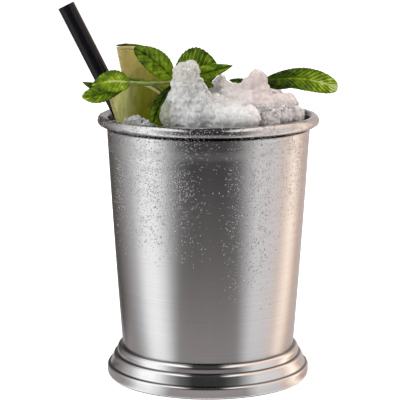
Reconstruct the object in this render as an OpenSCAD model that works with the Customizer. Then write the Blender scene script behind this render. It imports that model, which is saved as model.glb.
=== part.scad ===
/* [Cup] */
// Outside diameter of the rolled rim
rim_d = 92; // [84:0.5:100]
// Height from the table to the top of the rim
cup_h = 110.4; // [96:0.2:126]
// Diameter of the bead that the rim is rolled into
bead_d = 4.4; // [3.4:0.1:5.4]
// Outward flare of the wall as it enters the bead
rim_flare = 0.3; // [0:0.05:0.8]
// Outside diameter of the wall where it enters the foot
wall_foot_d = 72.4; // [66:0.2:76]
// Swell of the wall outward from a straight taper, at mid height
wall_swell = 0.26; // [0:0.02:0.8]
// Thickness of the spun steel sheet
sheet_t = 0.9; // [0.6:0.05:1.2]
// Depth of the floor's underside below the foot's top
floor_drop = 5; // [4.9:0.1:7]
// Outside radius of the corner between wall and floor
floor_corner_r = 2.6; // [1.4:0.1:2.6]
// Opening left between the rolled edge and the wall, as an angle
curl_gap_angle = 70; // [50:5:100]

/* [Foot] */
// Height of the upright band that the cup stands on
band_h = 5; // [4:0.1:7]
// Rise of the middle step above the band
middle_rise = 4.5; // [3.6:0.1:5.5]
// Rise of the upper step above the middle one
upper_rise = 3.5; // [3:0.1:4.5]
// How far the upper step stands out from the wall
upper_w = 2.2; // [1.8:0.05:3]
// How far the middle step stands out from the upper one
middle_w = 1.75; // [1.5:0.05:2.5]
// How far the band stands out from the middle step
band_w = 2.5; // [1.8:0.05:3.5]
// Round on the band's shoulder
band_round = 1.2; // [0.5:0.05:1.6]
// Round on the band's lower edge
lower_round = 0.7; // [0.3:0.05:1.2]
// Width of the ring, turned inward, that the foot stands on
stand_w = 3.6; // [2.5:0.1:6]
// Leg of the solder fillet between foot and wall
solder_leg = 1.3; // [0.8:0.1:1.4]

/* [Straw] */
// Outside diameter of the straw
straw_d = 7.1; // [5:0.1:8]
// Wall of the straw
straw_t = 0.5; // [0.3:0.05:0.8]
// Length of the straw
straw_len = 161; // [140:1:180]
// Lean of the straw from upright, in degrees
straw_lean = 26.6; // [22:0.2:28]

/* [Ice] */
// Depth of the packed ice, from its flat top down
bed_depth = 26; // [20:1:40]
// Drop from the top of the rim to the packed ice
bed_drop = 6.4; // [5:0.1:9]
// Depth of the holes in the ice that the mint stands in
stem_hole_h = 14; // [8:0.5:18]

/* [Lime] */
// Half length of the back wedge, pole to middle
lime_half_len = 17.5; // [15:0.5:19]
// Radius of the back wedge, core to skin
lime_r = 22; // [18:0.5:24]
// Half length of the front wedge
front_half_len = 17; // [14:0.5:18]
// Radius of the front wedge
front_lime_r = 25; // [20:0.5:26]
// Thickness of the green skin
skin_t = 0.8; // [0.5:0.1:1.4]
// Thickness of the white pith under the skin
pith_t = 1.4; // [0.8:0.1:2.2]
// Thickness of the membrane between two segments
membrane_t = 0.5; // [0.3:0.05:0.8]
// Radius of the pith cord along the core
core_r = 1.4; // [0.8:0.1:2]

/* [Mint] */
// Thickness of a leaf
leaf_t = 0.5; // [0.35:0.05:0.8]
// Thickness of a main stem
stem_d = 2.4; // [1.8:0.1:3]
// Thickness of the side stem
side_stem_d = 1.1; // [0.8:0.1:1.6]

/* [Fits] */
// Clearance round anything that lifts out
fit_gap = 0.3; // [0.2:0.05:0.5]
// Gap between two lumps of ice
lump_gap = 0.1; // [0.05:0.05:0.3]

/* [Hidden] */

// Smoothness of round shapes, and how far a cut runs past what it cuts
round_fn = 96;
overrun = 1;

// Colours
steel = [0.66, 0.64, 0.62];
tin = [0.5, 0.5, 0.5];
black = [0.04, 0.04, 0.05];
frost = [0.9, 0.92, 0.93];
skin_green = [0.2, 0.36, 0.08];
pith_white = [0.86, 0.86, 0.72];
flesh_green = [0.66, 0.68, 0.32];
leaf_green = [0.26, 0.5, 0.1];
stem_green = [0.42, 0.55, 0.2];

// The wall's outside, from the foot's top up to the middle of the bead
bead_r = bead_d / 2;
bead_ring_r = rim_d / 2 - bead_r;
bead_z = cup_h - bead_r;
foot_h = band_h + middle_rise + upper_rise;
recess_h = foot_h - floor_drop;
corner_z = recess_h + floor_corner_r;
wall_foot_r = wall_foot_d / 2;
wall_top_r = bead_ring_r - bead_r + sheet_t - rim_flare;
wall_top_z = cup_h - bead_d;
wall_steps = 10;
function wall_r(z) =
    let (t = (z - foot_h) / (wall_top_z - foot_h))
    wall_foot_r + (wall_top_r - wall_foot_r) * t + wall_swell * 4 * t * (1 - t);

// The foot's steps, each rounded over most of its width
step_round_share = 0.92;
upper_r = wall_foot_r + upper_w;
middle_r = upper_r + middle_w;
band_r = middle_r + band_w;

// The mouth, which every place in the contents is a share of
mouth_r = bead_ring_r - bead_r;
floor_top = recess_h + sheet_t;
bed_top = cup_h - bed_drop;
bed_bottom = bed_top - bed_depth;
function mouth_point(share) = [0, 0, cup_h] + mouth_r * share;

// The straw's line: where it crosses the rim's level, and its lower end on the floor
straw_r = straw_d / 2;
straw_share = [-0.884, 0.12];
straw_end_z = floor_top + fit_gap + straw_r * sin(straw_lean);
straw_end_x = mouth_r * straw_share[0] + (cup_h - straw_end_z) * tan(straw_lean);
module along_straw() {
    translate([straw_end_x, mouth_r * straw_share[1], straw_end_z])
        rotate([0, -straw_lean, 0])
            children();
}

// The two main mint stems stand upright at these shares of the mouth
left_stem_share = [-0.32, -0.43, 0.375];
right_stem_share = [0.51, 0.03, 0.335];
stem_r = stem_d / 2;
stem_hole_r = stem_r + fit_gap;
stem_bottom = bed_top - stem_hole_h + fit_gap;

// Lumps of ice. Each row holds the name of the node it belongs to, the centre's shares,
// the radius share, the height's stretch, and 1 where the lump rises in front of the mint
// or behind it.
lump_shares = [
    ["tower_top", [-0.240, -0.710, 0.475], 0.100, 1.15, 1],
    ["tower_top", [-0.165, -0.750, 0.500], 0.088, 1.15, 1],
    ["tower_middle", [-0.225, -0.730, 0.355], 0.138, 1.00, 1],
    ["tower_middle", [-0.130, -0.710, 0.330], 0.115, 1.00, 1],
    ["tower_lower", [-0.250, -0.740, 0.235], 0.150, 1.00, 1],
    ["tower_lower", [-0.085, -0.720, 0.200], 0.145, 1.00, 1],
    ["tower_base", [-0.320, -0.750, 0.080], 0.145, 1.00, 1],
    ["tower_base", [-0.165, -0.790, 0.075], 0.150, 1.00, 1],
    ["front_left", [-0.010, -0.750, 0.085], 0.140, 1.00, 1],
    ["front_middle", [0.115, -0.790, 0.040], 0.125, 1.00, 1],
    ["front_right", [0.265, -0.760, 0.055], 0.140, 1.00, 0],
    ["front_right", [0.385, -0.730, 0.050], 0.125, 1.00, 0],
    ["small_peak", [0.125, -0.240, 0.335], 0.072, 1.10, 1],
    ["small_peak", [0.045, -0.210, 0.240], 0.105, 1.00, 1],
    ["saddle", [0.215, -0.230, 0.220], 0.120, 1.00, 1],
    ["saddle", [0.330, -0.300, 0.225], 0.120, 1.00, 0],
    ["peak_top", [0.480, -0.350, 0.375], 0.103, 1.10, 0],
    ["peak_top", [0.415, -0.350, 0.325], 0.095, 1.00, 0],
    ["peak_base", [0.490, -0.360, 0.275], 0.113, 1.00, 0],
    ["peak_base", [0.375, -0.420, 0.150], 0.150, 1.00, 0],
    ["peak_base", [0.520, -0.430, 0.140], 0.125, 1.00, 0],
    ["peak_base", [0.215, -0.390, 0.135], 0.135, 1.00, 0],
    ["shoulder", [0.685, -0.310, 0.130], 0.115, 1.00, 0],
    ["shoulder", [0.785, -0.280, 0.150], 0.090, 1.00, 0],
    ["chips_left", [-0.700, -0.610, -0.050], 0.115, 0.90, 1],
    ["chips_left", [-0.500, -0.790, -0.120], 0.110, 0.90, 1],
    ["chips_left", [-0.600, -0.740, -0.080], 0.105, 0.90, 1],
    ["chips_left", [-0.770, -0.440, -0.090], 0.105, 0.90, 0],
    ["chips_right", [0.590, -0.620, 0.030], 0.115, 1.00, 0],
    ["chips_right", [0.730, -0.500, 0.045], 0.090, 1.00, 0],
    ["chips_right", [0.850, -0.380, 0.040], 0.080, 1.00, 0],
    ["chips_right", [0.515, -0.600, 0.090], 0.070, 1.00, 0],
    ["chips_right", [0.875, -0.200, 0.020], 0.075, 1.00, 0],
    ["chips_middle", [-0.100, -0.430, -0.040], 0.160, 0.90, 0],
    ["chips_middle", [0.150, -0.460, 0.030], 0.160, 0.90, 0],
    ["chips_middle", [-0.140, -0.180, 0.000], 0.180, 0.95, 0],
    ["chips_back", [0.020, 0.050, 0.060], 0.220, 0.90, 0],
    ["chips_back", [0.290, 0.090, 0.050], 0.210, 0.90, 0],
    ["chips_back", [0.740, 0.100, -0.010], 0.200, 0.90, 0],
    ["chips_back", [0.620, 0.420, 0.000], 0.240, 0.90, 0],
    ["chips_back", [0.280, 0.450, 0.020], 0.230, 0.90, 0],
    ["chips_back", [-0.080, 0.420, 0.020], 0.220, 0.90, 0],
    ["chips_back", [-0.420, 0.480, 0.000], 0.220, 0.90, 0],
    ["chips_back", [-0.730, 0.440, -0.050], 0.160, 0.90, 0],
    ["chips_back", [0.420, 0.740, -0.050], 0.170, 0.90, 0],
    ["chips_back", [0.080, 0.780, -0.040], 0.190, 0.90, 0],
    ["chips_back", [-0.250, 0.760, -0.040], 0.190, 0.90, 0],
    ["chips_back", [-0.520, 0.720, -0.060], 0.140, 0.90, 0]
];
lump_sides = 12;
lump_rings = 8;
lump_rough_share = 0.05;
far = 10 * mouth_r;

// Upright keep-out boxes that the lumps stop at, as shares of the mouth: the mint's
// layer, the lime's corner and the straw's side. Each is [low x, high x, low y, high y],
// and a lump stops at the side that it clears the most.
mint_zone_share = [-1.6, 0.3, -0.545, -0.325];
lime_zone_share = [-1.6, -0.285, -0.325, 0.255];
straw_zone_share = [-1.6, -0.69, 0.025, 0.215];

function lump_centre(k) = mouth_point(lump_shares[k][1]);
function lump_r(k) = mouth_r * lump_shares[k][2];
function lump_ray(i, j) =
    let (a = 360 * (i + (j % 2) / 2) / lump_sides, e = 180 * j / (lump_rings + 1) - 90)
    [cos(e) * cos(a), cos(e) * sin(a), sin(e)];

// How far a ray runs to a flat that lies dist away, along a normal at cosine c to it
function to_flat(dist, c) = c > 0.001 ? dist / c : far;

// Two lumps part on the flat that their sizes share out between their centres
function to_neighbour(k, other, ray) =
    let (
        v = lump_centre(other) - lump_centre(k),
        gap = norm(v),
        near = (gap * gap + lump_r(k) * lump_r(k) - lump_r(other) * lump_r(other)) / (2 * gap)
    )
    to_flat(near - lump_gap / 2, ray * v / gap);
function to_mouth(k, ray) =
    let (
        c = lump_centre(k),
        limit = wall_r(bed_top) - sheet_t - fit_gap,
        a = ray[0] * ray[0] + ray[1] * ray[1],
        b = c[0] * ray[0] + c[1] * ray[1],
        q = limit * limit - c[0] * c[0] - c[1] * c[1]
    )
    a > 0.001 ? (sqrt(b * b + a * q) - b) / a : far;
function to_zone(k, ray, zone_share) =
    let (
        c = lump_centre(k),
        sides = [
            [c[0] - mouth_r * zone_share[1], -ray[0]],
            [mouth_r * zone_share[0] - c[0], ray[0]],
            [c[1] - mouth_r * zone_share[3], -ray[1]],
            [mouth_r * zone_share[2] - c[1], ray[1]]
        ],
        clear = max([for (side = sides) side[0]])
    )
    max([for (side = sides) if (side[0] == clear) to_flat(clear, side[1])]);
function to_stem(k, ray, stem_share) =
    let (
        c = lump_centre(k),
        v = [mouth_r * stem_share[0] - c[0], mouth_r * stem_share[1] - c[1]],
        gap = norm(v)
    )
    to_flat(gap - stem_hole_r, (ray[0] * v[0] + ray[1] * v[1]) / gap);
function lump_rough(k, ray) =
    1 + lump_rough_share * (
        sin(230 * ray[0] + 97 * k) + sin(250 * ray[1] + 61 * k) + sin(270 * ray[2] + 43 * k)
    );
function lump_point(k, ray) =
    let (
        c = lump_centre(k),
        stretch = lump_shares[k][3],
        round_r = lump_r(k) * lump_rough(k, ray) / norm([ray[0], ray[1], ray[2] / stretch]),
        flats = [for (n = [0 : len(lump_shares) - 1]) n == k ? far : to_neighbour(k, n, ray)],
        in_mint = lump_shares[k][4] == 1 ? to_zone(k, ray, mint_zone_share) : far
    )
    c + ray * min(concat(flats, [
        round_r,
        in_mint,
        to_flat(c[2] - bed_top, -ray[2]),
        to_mouth(k, ray),
        to_zone(k, ray, lime_zone_share),
        to_zone(k, ray, straw_zone_share),
        to_stem(k, ray, left_stem_share),
        to_stem(k, ray, right_stem_share)
    ]));
module ice_lump(k) {
    rings = [for (j = [1 : lump_rings]) [for (i = [0 : lump_sides - 1]) lump_point(k, lump_ray(i, j))]];
    foot_point = lump_point(k, [0, 0, -1]);
    crown_point = lump_point(k, [0, 0, 1]);
    points = concat([foot_point], [for (ring = rings) for (p = ring) p], [crown_point]);
    crown = len(points) - 1;
    function at(i, j) = 1 + (j - 1) * lump_sides + (i + lump_sides) % lump_sides;
    sides = [
        for (j = [1 : lump_rings - 1])
            for (i = [0 : lump_sides - 1])
                let (shift = j % 2)
                for (face = [
                    [at(i, j), at(i + shift, j + 1), at(i + 1, j)],
                    [at(i + shift, j + 1), at(i + shift + 1, j + 1), at(i + 1, j)]
                ]) face
    ];
    caps = [
        for (i = [0 : lump_sides - 1])
            for (face = [
                [0, at(i, 1), at(i + 1, 1)],
                [crown, at(i + 1, lump_rings), at(i, lump_rings)]
            ]) face
    ];
    polyhedron(points = points, faces = concat(sides, caps));
}

// Leaves. Each row holds the name, the base's shares, the tip's shares, the half width
// share, the share it arches towards its face, its fold and its face's lean in degrees,
// the share its midrib bows sideways, how far out its widest place lies (over 1: past the
// middle), and how blunt its ends are (the lower, the blunter).
leaf_shares = [
    ["outer", [-0.760, -0.462, 0.362], [-1.125, -0.475, 0.336], 0.112, 0.010, 12, 4, -0.025, 0.75, 0.65],
    ["lower", [-0.760, -0.405, 0.335], [-1.229, -0.400, 0.211], 0.085, 0.010, 12, 4, 0.020, 1.60, 0.60],
    ["curled", [-0.900, -0.388, 0.310], [-1.229, -0.374, 0.355], 0.045, 0.000, 6, 0, 0.030, 0.90, 0.80],
    ["lime", [-0.350, -0.425, 0.400], [-0.715, -0.440, 0.695], 0.120, 0.020, 10, 6, -0.025, 0.85, 0.55],
    ["arched", [-0.330, -0.400, 0.440], [0.095, -0.395, 0.495], 0.200, 0.010, 3, 0, 0.035, 1.00, 0.55],
    ["pointed", [-0.275, -0.490, 0.370], [0.232, -0.500, 0.530], 0.080, 0.010, 10, 4, 0.010, 0.80, 0.80],
    ["small", [-0.272, -0.452, 0.395], [0.054, -0.455, 0.325], 0.085, 0.005, 6, 0, 0.020, 0.80, 0.80],
    ["hanging", [-0.350, -0.470, 0.350], [-0.539, -0.560, -0.055], 0.075, 0.015, 12, 0, -0.025, 1.30, 0.70],
    ["long", [0.552, 0.020, 0.335], [1.288, -0.020, 0.268], 0.118, 0.020, 12, 6, 0.050, 1.45, 0.38],
    ["under", [0.552, 0.060, 0.285], [0.850, 0.085, 0.262], 0.040, 0.010, 12, 10, 0, 0.90, 0.80],
    ["hidden", [0.468, 0.085, 0.275], [0.205, 0.085, 0.330], 0.045, 0.010, 12, 4, 0, 0.90, 0.80]
];
leaf_steps = 10;
leaf_sides = 2;
leaf_neck_share = 0.1;
function unit(v) = v / norm(v);
function leaf_width(u, skew, blunt) =
    max(leaf_neck_share, pow(sin(180 * pow(u, skew)), blunt));
function leaf_point(row, u, v, side) =
    let (
        base = mouth_point(row[1]),
        along = mouth_point(row[2]) - base,
        half_w = mouth_r * row[3] * leaf_width(u, row[8], row[9]),
        arch = mouth_r * row[4] * sin(180 * u),
        fold = row[5],
        facing = [0, -cos(row[6]), sin(row[6])],
        bow = mouth_r * row[7] * sin(180 * u),
        across = unit(cross(facing, along)),
        normal = unit(cross(along, across))
    )
    base + along * u
        + across * (half_w * v * cos(fold) + bow)
        + normal * (half_w * abs(v) * sin(fold) + arch + side * leaf_t / 2);
module mint_leaf(row) {
    lanes = 2 * leaf_sides + 1;
    top = lanes - 1;
    end = leaf_steps;
    half_count = (leaf_steps + 1) * lanes;
    points = [
        for (side = [-1, 1])
            for (i = [0 : leaf_steps])
                for (j = [-leaf_sides : leaf_sides])
                    leaf_point(row, i / leaf_steps, j / leaf_sides, side)
    ];
    function at(side, i, j) = side * half_count + i * lanes + j;
    function quad(a, b, c, d) = [[a, c, b], [a, d, c]];
    blade = [
        for (i = [0 : leaf_steps - 1])
            for (j = [0 : top - 1])
                for (face = concat(
                    quad(at(0, i, j), at(0, i, j + 1), at(0, i + 1, j + 1), at(0, i + 1, j)),
                    quad(at(1, i, j), at(1, i + 1, j), at(1, i + 1, j + 1), at(1, i, j + 1))
                )) face
    ];
    edges = [
        for (i = [0 : leaf_steps - 1])
            for (face = concat(
                quad(at(0, i, 0), at(0, i + 1, 0), at(1, i + 1, 0), at(1, i, 0)),
                quad(at(0, i, top), at(1, i, top), at(1, i + 1, top), at(0, i + 1, top))
            )) face
    ];
    ends = [
        for (j = [0 : top - 1])
            for (face = concat(
                quad(at(0, 0, j), at(1, 0, j), at(1, 0, j + 1), at(0, 0, j + 1)),
                quad(at(0, end, j), at(0, end, j + 1), at(1, end, j + 1), at(1, end, j))
            )) face
    ];
    polyhedron(points = points, faces = concat(blade, edges, ends));
}

// A bent tube of eight sides through the given shares of the mouth
tube_sides = 8;
module bent_stem(d, shares) {
    route = [for (s = shares) mouth_point(s)];
    last = len(route) - 1;
    function heading(n) = unit(route[min(n + 1, last)] - route[max(n - 1, 0)]);
    function ring(n) =
        let (out = unit(cross(heading(n), [0, 1, 0])), side = cross(heading(n), out))
        [for (i = [0 : tube_sides - 1])
            let (a = 360 * i / tube_sides)
            route[n] + (out * cos(a) + side * sin(a)) * d / 2];
    function at(i, n) = n * tube_sides + i % tube_sides;
    points = [for (n = [0 : last]) for (p = ring(n)) p];
    walls = [
        for (n = [0 : last - 1])
            for (i = [0 : tube_sides - 1])
                for (face = [
                    [at(i, n), at(i, n + 1), at(i + 1, n + 1)],
                    [at(i, n), at(i + 1, n + 1), at(i + 1, n)]
                ]) face
    ];
    start = [for (i = [0 : tube_sides - 1]) at(i, 0)];
    finish = [for (i = [tube_sides - 1 : -1 : 0]) at(i, last)];
    polyhedron(points = points, faces = concat(walls, [start, finish]));
}
side_stem_shares = [
    [[-0.356, -0.450, 0.366], [-0.460, -0.452, 0.356], [-0.600, -0.456, 0.354], [-0.748, -0.462, 0.361]],
    [[-0.356, -0.410, 0.360], [-0.460, -0.408, 0.342], [-0.600, -0.406, 0.334], [-0.748, -0.405, 0.335]]
];

// The spun shell: tapered wall, floor and the rim rolled outward over itself
module wall_outline() {
    heights = [for (i = [0 : wall_steps]) foot_h + (wall_top_z - foot_h) * i / wall_steps];
    corner = [wall_r(corner_z) - floor_corner_r, corner_z];
    bend = [for (a = [-90 : 15 : 0]) [cos(a), sin(a)]];
    polygon(concat(
        [[0, recess_h]],
        [for (p = bend) corner + p * floor_corner_r],
        [for (z = heights) [wall_r(z), z]],
        [[mouth_r + sheet_t, bead_z], [mouth_r, bead_z]],
        [for (i = [wall_steps : -1 : 0]) [wall_r(heights[i]) - sheet_t, heights[i]]],
        [for (i = [len(bend) - 1 : -1 : 0]) corner + bend[i] * (floor_corner_r - sheet_t)],
        [[0, floor_top]]
    ));
}
module rolled_edge_outline() {
    translate([bead_ring_r, bead_z])
        difference() {
            circle(r = bead_r, $fn = round_fn);
            circle(r = bead_r - sheet_t, $fn = round_fn);
            polygon([
                [0, 0], [-bead_d, 0], [-bead_d, -bead_d],
                bead_d * [-cos(curl_gap_angle), -sin(curl_gap_angle)]
            ]);
        }
}
module cup_shell() {
    color(steel)
        rotate_extrude($fn = round_fn) {
            wall_outline();
            rolled_edge_outline();
        }
}

// The foot: three rounded steps pressed from sheet, the lower edge turned inward
module rounded_step(r, top, corner_r) {
    square([r - corner_r, top]);
    square([r, top - corner_r]);
    translate([r - corner_r, top - corner_r])
        circle(r = corner_r, $fn = round_fn);
}
module foot_steps() {
    rounded_step(upper_r, foot_h, upper_w * step_round_share);
    rounded_step(middle_r, band_h + middle_rise, middle_w * step_round_share);
    rounded_step(band_r, band_h, band_round);
}
module lower_corner() {
    translate([band_r - lower_round, 0])
        difference() {
            translate([0, -overrun])
                square([lower_round + overrun, lower_round + overrun]);
            translate([0, lower_round])
                circle(r = lower_round, $fn = round_fn);
        }
}
// Everything inside the cup wall's outer face, over the height of the joint
module wall_side() {
    polygon([
        [0, corner_z], [wall_r(corner_z), corner_z], [wall_r(foot_h), foot_h],
        [wall_r(foot_h), foot_h + overrun], [0, foot_h + overrun]
    ]);
}
module foot_ring() {
    color(steel)
        rotate_extrude($fn = round_fn)
            difference() {
                foot_steps();
                intersection() {
                    translate([-sheet_t, -sheet_t])
                        foot_steps();
                    translate([0, sheet_t])
                        square([band_r, foot_h]);
                }
                translate([0, -overrun])
                    square([band_r - stand_w, sheet_t + 2 * overrun]);
                lower_corner();
                wall_side();
            }
}
module foot_solder() {
    solder_top = foot_h - sheet_t;
    color(tin)
        rotate_extrude($fn = round_fn)
            difference() {
                intersection() {
                    polygon([
                        [wall_r(corner_z) - overrun, solder_top],
                        [wall_r(corner_z) - overrun, solder_top - solder_leg],
                        [wall_r(foot_h), solder_top - solder_leg],
                        [wall_r(foot_h) + solder_leg, solder_top]
                    ]);
                    translate([-sheet_t, -sheet_t])
                        foot_steps();
                }
                wall_side();
            }
}

module straw_tube() {
    color(black)
        along_straw()
            difference() {
                cylinder(r = straw_r, h = straw_len, $fn = round_fn);
                translate([0, 0, -overrun])
                    cylinder(r = straw_r - straw_t, h = straw_len + 2 * overrun, $fn = round_fn);
            }
}

// The packed ice: a plug that fits the taper, with a channel for the straw and holes
// for the two mint stems
module stem_hole(share) {
    translate([mouth_r * share[0], mouth_r * share[1], bed_top - stem_hole_h])
        cylinder(r = stem_hole_r, h = stem_hole_h + overrun, $fn = round_fn);
}
module ice_bed() {
    color(frost)
        difference() {
            rotate_extrude($fn = round_fn)
                polygon(concat(
                    [[0, bed_bottom]],
                    [for (i = [0 : wall_steps])
                        let (z = bed_bottom + bed_depth * i / wall_steps)
                        [wall_r(z) - sheet_t - fit_gap, z]],
                    [[0, bed_top]]
                ));
            along_straw()
                cylinder(r = straw_r + fit_gap, h = straw_len, $fn = round_fn);
            stem_hole(left_stem_share);
            stem_hole(right_stem_share);
        }
}
module ice_group(name) {
    color(frost)
        for (k = [0 : len(lump_shares) - 1])
            if (lump_shares[k][0] == name)
                ice_lump(k);
}
module ice_tower_top() ice_group("tower_top");
module ice_tower_middle() ice_group("tower_middle");
module ice_tower_lower() ice_group("tower_lower");
module ice_tower_base() ice_group("tower_base");
module ice_front_left() ice_group("front_left");
module ice_front_middle() ice_group("front_middle");
module ice_front_right() ice_group("front_right");
module ice_small_peak() ice_group("small_peak");
module ice_saddle() ice_group("saddle");
module ice_peak_top() ice_group("peak_top");
module ice_peak_base() ice_group("peak_base");
module ice_shoulder() ice_group("shoulder");
module ice_chips_left() ice_group("chips_left");
module ice_chips_right() ice_group("chips_right");
module ice_chips_middle() ice_group("chips_middle");
module ice_chips_back() ice_group("chips_back");

// A lime wedge: a sector of an egg shape turned about its core, in nested layers
lime_steps = 14;
module lime_layer(half_len, radius, angle, inset) {
    rotate_extrude(angle = angle, $fn = round_fn)
        polygon([
            for (i = [0 : lime_steps])
                let (a = 180 * i / lime_steps - 90)
                [(radius - inset) * cos(a), (half_len - inset) * sin(a)]
        ]);
}
module lime_membrane(half_len, radius, angle) {
    rotate([0, 0, angle / 2])
        translate([0, -membrane_t / 2, -half_len])
            cube([radius, membrane_t, 2 * half_len]);
}
module lime_skin(half_len, radius, angle) {
    color(skin_green)
        difference() {
            lime_layer(half_len, radius, angle, 0);
            lime_layer(half_len, radius, angle, skin_t);
        }
}
module lime_core(half_len) {
    cylinder(r = core_r, h = 2 * half_len, center = true, $fn = round_fn);
}
module lime_pith(half_len, radius, angle) {
    color(pith_white) {
        difference() {
            lime_layer(half_len, radius, angle, skin_t);
            lime_layer(half_len, radius, angle, skin_t + pith_t);
        }
        intersection() {
            lime_layer(half_len, radius, angle, skin_t + pith_t);
            union() {
                lime_core(half_len);
                lime_membrane(half_len, radius, angle);
            }
        }
    }
}
module lime_flesh(half_len, radius, angle) {
    color(flesh_green)
        difference() {
            lime_layer(half_len, radius, angle, skin_t + pith_t);
            lime_core(half_len);
            lime_membrane(half_len, radius, angle);
        }
}

// The back wedge stands on its end on the packed ice, with a cut face to the front
back_tilt = 11;
back_angle = 36;
back_share = [-0.845, -0.07];
module as_back_wedge() {
    low = norm([lime_half_len * cos(back_tilt), lime_r * sin(back_tilt)]);
    translate([mouth_r * back_share[0], mouth_r * back_share[1], bed_top + fit_gap + low])
        rotate([0, -back_tilt, 0])
            children();
}
module lime_back_skin() as_back_wedge() lime_skin(lime_half_len, lime_r, back_angle);
module lime_back_pith() as_back_wedge() lime_pith(lime_half_len, lime_r, back_angle);
module lime_back_flesh() as_back_wedge() lime_flesh(lime_half_len, lime_r, back_angle);

// The front wedge is cut across and stands on that cut
front_tilt = 17;
front_angle = 22;
front_share = [-0.925, -0.2];
front_lift_share = 0.24;
module as_front_wedge() {
    block = 2 * (front_lime_r + front_half_len);
    seat = bed_top + fit_gap;
    lift = front_half_len * front_lift_share;
    difference() {
        translate([mouth_r * front_share[0], mouth_r * front_share[1], seat + lift])
            rotate([0, -front_tilt, 0])
                rotate([0, 0, -front_angle / 2])
                    children();
        translate([-block, -block, seat - block])
            cube([2 * block, 2 * block, block]);
    }
}
module lime_front_skin() as_front_wedge() lime_skin(front_half_len, front_lime_r, front_angle);
module lime_front_pith() as_front_wedge() lime_pith(front_half_len, front_lime_r, front_angle);
module lime_front_flesh() as_front_wedge() lime_flesh(front_half_len, front_lime_r, front_angle);

// The mint: two upright stems in the ice, a side stem, and the leaves
module main_stem(share) {
    color(stem_green)
        translate([mouth_r * share[0], mouth_r * share[1], stem_bottom])
            cylinder(r = stem_r, h = cup_h + mouth_r * share[2] - stem_bottom, $fn = round_fn);
}
module mint_left_stem() main_stem(left_stem_share);
module mint_right_stem() main_stem(right_stem_share);
module mint_left_side_stem() {
    color(stem_green)
        for (shares = side_stem_shares)
            bent_stem(side_stem_d, shares);
}
module leaf(name) {
    color(leaf_green)
        for (row = leaf_shares)
            if (row[0] == name)
                mint_leaf(row);
}
module mint_leaf_outer() leaf("outer");
module mint_leaf_lower() leaf("lower");
module mint_leaf_curled() leaf("curled");
module mint_leaf_lime() leaf("lime");
module mint_leaf_arched() leaf("arched");
module mint_leaf_pointed() leaf("pointed");
module mint_leaf_small() leaf("small");
module mint_leaf_hanging() leaf("hanging");
module mint_leaf_long() leaf("long");
module mint_leaf_under() leaf("under");
module mint_leaf_hidden() leaf("hidden");

cup_shell();
foot_ring();
foot_solder();
straw_tube();
ice_bed();
ice_tower_top();
ice_tower_middle();
ice_tower_lower();
ice_tower_base();
ice_front_left();
ice_front_middle();
ice_front_right();
ice_small_peak();
ice_saddle();
ice_peak_top();
ice_peak_base();
ice_shoulder();
ice_chips_left();
ice_chips_right();
ice_chips_middle();
ice_chips_back();
lime_back_skin();
lime_back_pith();
lime_back_flesh();
lime_front_skin();
lime_front_pith();
lime_front_flesh();
mint_left_stem();
mint_left_side_stem();
mint_leaf_outer();
mint_leaf_lower();
mint_leaf_curled();
mint_leaf_lime();
mint_leaf_arched();
mint_leaf_pointed();
mint_leaf_small();
mint_leaf_hanging();
mint_right_stem();
mint_leaf_long();
mint_leaf_under();
mint_leaf_hidden();
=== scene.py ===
import math

import bmesh
import bpy
from mathutils import Matrix, Vector, noise


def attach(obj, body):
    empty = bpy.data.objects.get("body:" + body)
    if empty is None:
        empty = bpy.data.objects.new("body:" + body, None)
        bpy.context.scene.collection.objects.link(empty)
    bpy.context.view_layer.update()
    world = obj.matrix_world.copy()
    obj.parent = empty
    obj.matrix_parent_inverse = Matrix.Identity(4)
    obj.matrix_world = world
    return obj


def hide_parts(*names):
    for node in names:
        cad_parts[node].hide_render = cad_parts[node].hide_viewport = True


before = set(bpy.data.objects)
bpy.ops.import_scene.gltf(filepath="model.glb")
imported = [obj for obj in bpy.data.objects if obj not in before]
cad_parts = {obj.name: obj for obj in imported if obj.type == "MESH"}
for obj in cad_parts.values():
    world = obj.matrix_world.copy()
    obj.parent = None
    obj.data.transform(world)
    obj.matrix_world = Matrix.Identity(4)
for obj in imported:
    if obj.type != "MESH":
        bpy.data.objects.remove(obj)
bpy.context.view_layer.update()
scene = bpy.context.scene
scene.view_settings.view_transform = "Standard"

# Camera. A long lens, about 0.7 m in front of the cup and a little above its rim, so that
# the mouth shows as a thin oval and the walls stay almost parallel.
camera_place = Vector((0.0, -0.6796, 0.1963))
camera_pitch = math.radians(90 - 10.204)
camera_roll = math.radians(0.117)
camera_data = bpy.data.cameras.new("camera")
camera_data.lens = 148.23
camera_data.shift_x = -0.0205
camera = bpy.data.objects.new("camera", camera_data)
scene.collection.objects.link(camera)
tilt = Matrix.Rotation(camera_pitch, 4, "X") @ Matrix.Rotation(camera_roll, 4, "Z")
camera.matrix_world = Matrix.Translation(camera_place) @ tilt
scene.camera = camera

# Cup shell. One round of steel sheet, spun over a form into a tapered wall with a flat
# floor, its lip rolled outward over itself into a bead. It is brushed round and round.
MM = 0.001
rim_r, cup_h, bead_r, sheet = 46 * MM, 110.4 * MM, 2.2 * MM, 0.9 * MM
wall_foot_r, wall_top_r, wall_swell = 36.2 * MM, 42.2 * MM, 0.26 * MM
foot_h, floor_z, floor_corner_r = 13 * MM, 8 * MM, 2.6 * MM
mouth_r = rim_r - 2 * bead_r
bead_ring_r = rim_r - bead_r
bead_z = cup_h - bead_r
wall_top_z = cup_h - 2 * bead_r
tool_ring_z = 98.5 * MM
round_segments = 256


def wall_r(z):
    t = (z - foot_h) / (wall_top_z - foot_h)
    return wall_foot_r + (wall_top_r - wall_foot_r) * t + wall_swell * 4 * t * (1 - t)


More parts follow.
